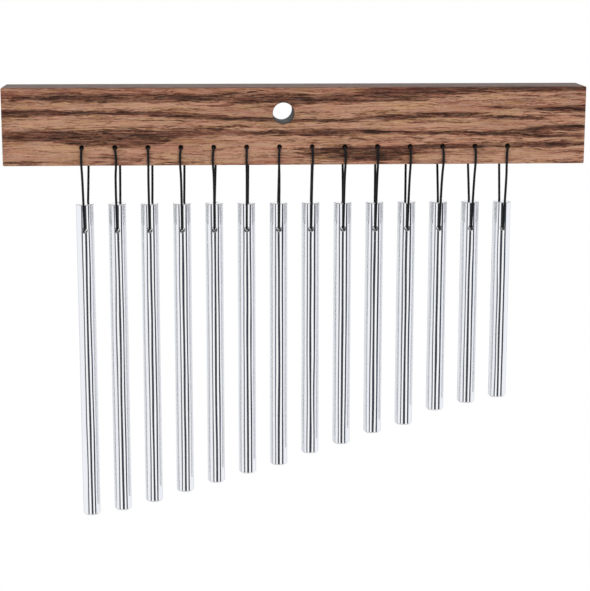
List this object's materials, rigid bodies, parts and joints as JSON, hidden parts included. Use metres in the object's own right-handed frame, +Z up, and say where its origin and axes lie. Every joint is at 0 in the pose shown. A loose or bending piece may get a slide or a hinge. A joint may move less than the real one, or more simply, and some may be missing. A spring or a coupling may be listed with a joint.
{
  "type": "bar chimes",
  "caption": "Bar chimes: polished metal bars of falling length, each hung on its own cord loop from a hardwood mantle with a stand hole.",
  "frame": {"origin": "middle of the stand hole, on the mantle's mid plane", "axes": "+X along the mantle towards the short bars, +Y away from the player, +Z up"},
  "size_m": [0.3048, 0.0326, 0.2342],
  "materials": {
    "wood": "satin clear lacquer over figured hardwood",
    "bar": "polished",
    "cord": "black braided cord"
  },
  "bodies": {
    "mantle": {"mantle": "wood"},
    "tie_01": {"cord_knot_01": "cord"},
    "loop_01": {"cord_loop_01": "cord"},
    "bar_01": {"bar_01": "bar"},
    "tie_02": {"cord_knot_02": "cord"},
    "loop_02": {"cord_loop_02": "cord"},
    "bar_02": {"bar_02": "bar"},
    "tie_03": {"cord_knot_03": "cord"},
    "loop_03": {"cord_loop_03": "cord"},
    "bar_03": {"bar_03": "bar"},
    "tie_04": {"cord_knot_04": "cord"},
    "loop_04": {"cord_loop_04": "cord"},
    "bar_04": {"bar_04": "bar"},
    "tie_05": {"cord_knot_05": "cord"},
    "loop_05": {"cord_loop_05": "cord"},
    "bar_05": {"bar_05": "bar"},
    "tie_06": {"cord_knot_06": "cord"},
    "loop_06": {"cord_loop_06": "cord"},
    "bar_06": {"bar_06": "bar"},
    "tie_07": {"cord_knot_07": "cord"},
    "loop_07": {"cord_loop_07": "cord"},
    "bar_07": {"bar_07": "bar"},
    "tie_08": {"cord_knot_08": "cord"},
    "loop_08": {"cord_loop_08": "cord"},
    "bar_08": {"bar_08": "bar"},
    "tie_09": {"cord_knot_09": "cord"},
    "loop_09": {"cord_loop_09": "cord"},
    "bar_09": {"bar_09": "bar"},
    "tie_10": {"cord_knot_10": "cord"},
    "loop_10": {"cord_loop_10": "cord"},
    "bar_10": {"bar_10": "bar"},
    "tie_11": {"cord_knot_11": "cord"},
    "loop_11": {"cord_loop_11": "cord"},
    "bar_11": {"bar_11": "bar"},
    "tie_12": {"cord_knot_12": "cord"},
    "loop_12": {"cord_loop_12": "cord"},
    "bar_12": {"bar_12": "bar"},
    "tie_13": {"cord_knot_13": "cord"},
    "loop_13": {"cord_loop_13": "cord"},
    "bar_13": {"bar_13": "bar"},
    "tie_14": {"cord_knot_14": "cord"},
    "loop_14": {"cord_loop_14": "cord"},
    "bar_14": {"bar_14": "bar"}
  },
  "joints": [
    {"name": "loop_01_sideways", "type": "hinge", "parent": "mantle", "child": "tie_01", "pos_m": [-0.10497, 0, -0.0175], "axis": [0, -1, 0], "range_deg": [-25, 2.07]},
    {"name": "loop_01_fore_aft", "type": "hinge", "parent": "tie_01", "child": "loop_01", "pos_m": [-0.10497, 0, -0.027], "axis": [1, 0, 0], "range_deg": [-30, 30], "deforming": ["cord_loop_01"]},
    {"name": "bar_01_rock", "type": "hinge", "parent": "loop_01", "child": "bar_01", "pos_m": [-0.10497, 0, -0.06245], "axis": [0, -1, 0], "range_deg": [-25, 2.65]},
    {"name": "loop_02_sideways", "type": "hinge", "parent": "mantle", "child": "tie_02", "pos_m": [-0.08783, 0, -0.0175], "axis": [0, -1, 0], "range_deg": [-2.09, 2.09]},
    {"name": "loop_02_fore_aft", "type": "hinge", "parent": "tie_02", "child": "loop_02", "pos_m": [-0.08783, 0, -0.027], "axis": [1, 0, 0], "range_deg": [-30, 30], "deforming": ["cord_loop_02"]},
    {"name": "bar_02_rock", "type": "hinge", "parent": "loop_02", "child": "bar_02", "pos_m": [-0.08783, 0, -0.06245], "axis": [0, -1, 0], "range_deg": [-2.69, 2.69]},
    {"name": "loop_03_sideways", "type": "hinge", "parent": "mantle", "child": "tie_03", "pos_m": [-0.07068, 0, -0.0175], "axis": [0, -1, 0], "range_deg": [-2.14, 2.14]},
    {"name": "loop_03_fore_aft", "type": "hinge", "parent": "tie_03", "child": "loop_03", "pos_m": [-0.07068, 0, -0.027], "axis": [1, 0, 0], "range_deg": [-30, 30], "deforming": ["cord_loop_03"]},
    {"name": "bar_03_rock", "type": "hinge", "parent": "loop_03", "child": "bar_03", "pos_m": [-0.07068, 0, -0.06245], "axis": [0, -1, 0], "range_deg": [-2.77, 2.77]},
    {"name": "loop_04_sideways", "type": "hinge", "parent": "mantle", "child": "tie_04", "pos_m": [-0.05353, 0, -0.0175], "axis": [0, -1, 0], "range_deg": [-2.2, 2.2]},
    {"name": "loop_04_fore_aft", "type": "hinge", "parent": "tie_04", "child": "loop_04", "pos_m": [-0.05353, 0, -0.027], "axis": [1, 0, 0], "range_deg": [-30, 30], "deforming": ["cord_loop_04"]},
    {"name": "bar_04_rock", "type": "hinge", "parent": "loop_04", "child": "bar_04", "pos_m": [-0.05353, 0, -0.06245], "axis": [0, -1, 0], "range_deg": [-2.88, 2.88]},
    {"name": "loop_05_sideways", "type": "hinge", "parent": "mantle", "child": "tie_05", "pos_m": [-0.03637, 0, -0.0175], "axis": [0, -1, 0], "range_deg": [-2.26, 2.26]},
    {"name": "loop_05_fore_aft", "type": "hinge", "parent": "tie_05", "child": "loop_05", "pos_m": [-0.03637, 0, -0.027], "axis": [1, 0, 0], "range_deg": [-30, 30], "deforming": ["cord_loop_05"]},
    {"name": "bar_05_rock", "type": "hinge", "parent": "loop_05", "child": "bar_05", "pos_m": [-0.03637, 0, -0.06245], "axis": [0, -1, 0], "range_deg": [-2.98, 2.98]},
    {"name": "loop_06_sideways", "type": "hinge", "parent": "mantle", "child": "tie_06", "pos_m": [-0.01922, 0, -0.0175], "axis": [0, -1, 0], "range_deg": [-2.32, 2.32]},
    {"name": "loop_06_fore_aft", "type": "hinge", "parent": "tie_06", "child": "loop_06", "pos_m": [-0.01922, 0, -0.027], "axis": [1, 0, 0], "range_deg": [-30, 30], "deforming": ["cord_loop_06"]},
    {"name": "bar_06_rock", "type": "hinge", "parent": "loop_06", "child": "bar_06", "pos_m": [-0.01922, 0, -0.06245], "axis": [0, -1, 0], "range_deg": [-3.09, 3.09]},
    {"name": "loop_07_sideways", "type": "hinge", "parent": "mantle", "child": "tie_07", "pos_m": [-0.00208, 0, -0.0175], "axis": [0, -1, 0], "range_deg": [-2.38, 2.38]},
    {"name": "loop_07_fore_aft", "type": "hinge", "parent": "tie_07", "child": "loop_07", "pos_m": [-0.00208, 0, -0.027], "axis": [1, 0, 0], "range_deg": [-30, 30], "deforming": ["cord_loop_07"]},
    {"name": "bar_07_rock", "type": "hinge", "parent": "loop_07", "child": "bar_07", "pos_m": [-0.00208, 0, -0.06245], "axis": [0, -1, 0], "range_deg": [-3.2, 3.2]},
    {"name": "loop_08_sideways", "type": "hinge", "parent": "mantle", "child": "tie_08", "pos_m": [0.01507, 0, -0.0175], "axis": [0, -1, 0], "range_deg": [-2.47, 2.47]},
    {"name": "loop_08_fore_aft", "type": "hinge", "parent": "tie_08", "child": "loop_08", "pos_m": [0.01507, 0, -0.027], "axis": [1, 0, 0], "range_deg": [-30, 30], "deforming": ["cord_loop_08"]},
    {"name": "bar_08_rock", "type": "hinge", "parent": "loop_08", "child": "bar_08", "pos_m": [0.01507, 0, -0.06245], "axis": [0, -1, 0], "range_deg": [-3.36, 3.36]},
    {"name": "loop_09_sideways", "type": "hinge", "parent": "mantle", "child": "tie_09", "pos_m": [0.03222, 0, -0.0175], "axis": [0, -1, 0], "range_deg": [-2.55, 2.55]},
    {"name": "loop_09_fore_aft", "type": "hinge", "parent": "tie_09", "child": "loop_09", "pos_m": [0.03222, 0, -0.027], "axis": [1, 0, 0], "range_deg": [-30, 30], "deforming": ["cord_loop_09"]},
    {"name": "bar_09_rock", "type": "hinge", "parent": "loop_09", "child": "bar_09", "pos_m": [0.03222, 0, -0.06245], "axis": [0, -1, 0], "range_deg": [-3.5, 3.5]},
    {"name": "loop_10_sideways", "type": "hinge", "parent": "mantle", "child": "tie_10", "pos_m": [0.04938, 0, -0.0175], "axis": [0, -1, 0], "range_deg": [-2.64, 2.64]},
    {"name": "loop_10_fore_aft", "type": "hinge", "parent": "tie_10", "child": "loop_10", "pos_m": [0.04938, 0, -0.027], "axis": [1, 0, 0], "range_deg": [-30, 30], "deforming": ["cord_loop_10"]},
    {"name": "bar_10_rock", "type": "hinge", "parent": "loop_10", "child": "bar_10", "pos_m": [0.04938, 0, -0.06245], "axis": [0, -1, 0], "range_deg": [-3.69, 3.69]},
    {"name": "loop_11_sideways", "type": "hinge", "parent": "mantle", "child": "tie_11", "pos_m": [0.06653, 0, -0.0175], "axis": [0, -1, 0], "range_deg": [-2.72, 2.72]},
    {"name": "loop_11_fore_aft", "type": "hinge", "parent": "tie_11", "child": "loop_11", "pos_m": [0.06653, 0, -0.027], "axis": [1, 0, 0], "range_deg": [-30, 30], "deforming": ["cord_loop_11"]},
    {"name": "bar_11_rock", "type": "hinge", "parent": "loop_11", "child": "bar_11", "pos_m": [0.06653, 0, -0.06245], "axis": [0, -1, 0], "range_deg": [-3.84, 3.84]},
    {"name": "loop_12_sideways", "type": "hinge", "parent": "mantle", "child": "tie_12", "pos_m": [0.08367, 0, -0.0175], "axis": [0, -1, 0], "range_deg": [-2.87, 2.87]},
    {"name": "loop_12_fore_aft", "type": "hinge", "parent": "tie_12", "child": "loop_12", "pos_m": [0.08367, 0, -0.027], "axis": [1, 0, 0], "range_deg": [-30, 30], "deforming": ["cord_loop_12"]},
    {"name": "bar_12_rock", "type": "hinge", "parent": "loop_12", "child": "bar_12", "pos_m": [0.08367, 0, -0.06245], "axis": [0, -1, 0], "range_deg": [-4.14, 4.14]},
    {"name": "loop_13_sideways", "type": "hinge", "parent": "mantle", "child": "tie_13", "pos_m": [0.10082, 0, -0.0175], "axis": [0, -1, 0], "range_deg": [-2.95, 2.95]},
    {"name": "loop_13_fore_aft", "type": "hinge", "parent": "tie_13", "child": "loop_13", "pos_m": [0.10082, 0, -0.027], "axis": [1, 0, 0], "range_deg": [-30, 30], "deforming": ["cord_loop_13"]},
    {"name": "bar_13_rock", "type": "hinge", "parent": "loop_13", "child": "bar_13", "pos_m": [0.10082, 0, -0.06245], "axis": [0, -1, 0], "range_deg": [-4.31, 4.31]},
    {"name": "loop_14_sideways", "type": "hinge", "parent": "mantle", "child": "tie_14", "pos_m": [0.11797, 0, -0.0175], "axis": [0, -1, 0], "range_deg": [-3.01, 25]},
    {"name": "loop_14_fore_aft", "type": "hinge", "parent": "tie_14", "child": "loop_14", "pos_m": [0.11797, 0, -0.027], "axis": [1, 0, 0], "range_deg": [-30, 30], "deforming": ["cord_loop_14"]},
    {"name": "bar_14_rock", "type": "hinge", "parent": "loop_14", "child": "bar_14", "pos_m": [0.11797, 0, -0.06245], "axis": [0, -1, 0], "range_deg": [-4.45, 25]}
  ]
}
